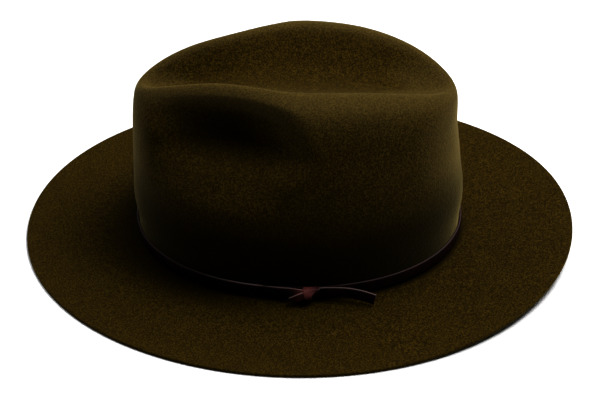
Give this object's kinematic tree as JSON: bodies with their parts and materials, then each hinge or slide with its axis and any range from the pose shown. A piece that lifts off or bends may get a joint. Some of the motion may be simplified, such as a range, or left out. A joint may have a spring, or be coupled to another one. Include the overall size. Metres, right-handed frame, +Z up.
{
  "type": "fedora hat",
  "caption": "Felt hat with a wide flat brim raised a little at the back, a teardrop dent and two front pinches in its crown, and a thin leather band tied in a half knot.",
  "frame": {"origin": "centre of the brim's outline on the plane that the hat rests on", "axes": "+Z up out of the top of the crown, -Y towards the front of the hat, +X towards the wearer's left, where the band is tied"},
  "size_m": [0.316, 0.3539, 0.1247],
  "materials": {
    "felt": "brushed fur felt, dark olive brown, short nap with a soft sheen",
    "leather": "smooth dark burgundy leather strap with cut edges"
  },
  "bodies": {
    "root": {"felt_body": "felt", "hat_band": "leather"}
  },
  "joints": []
}
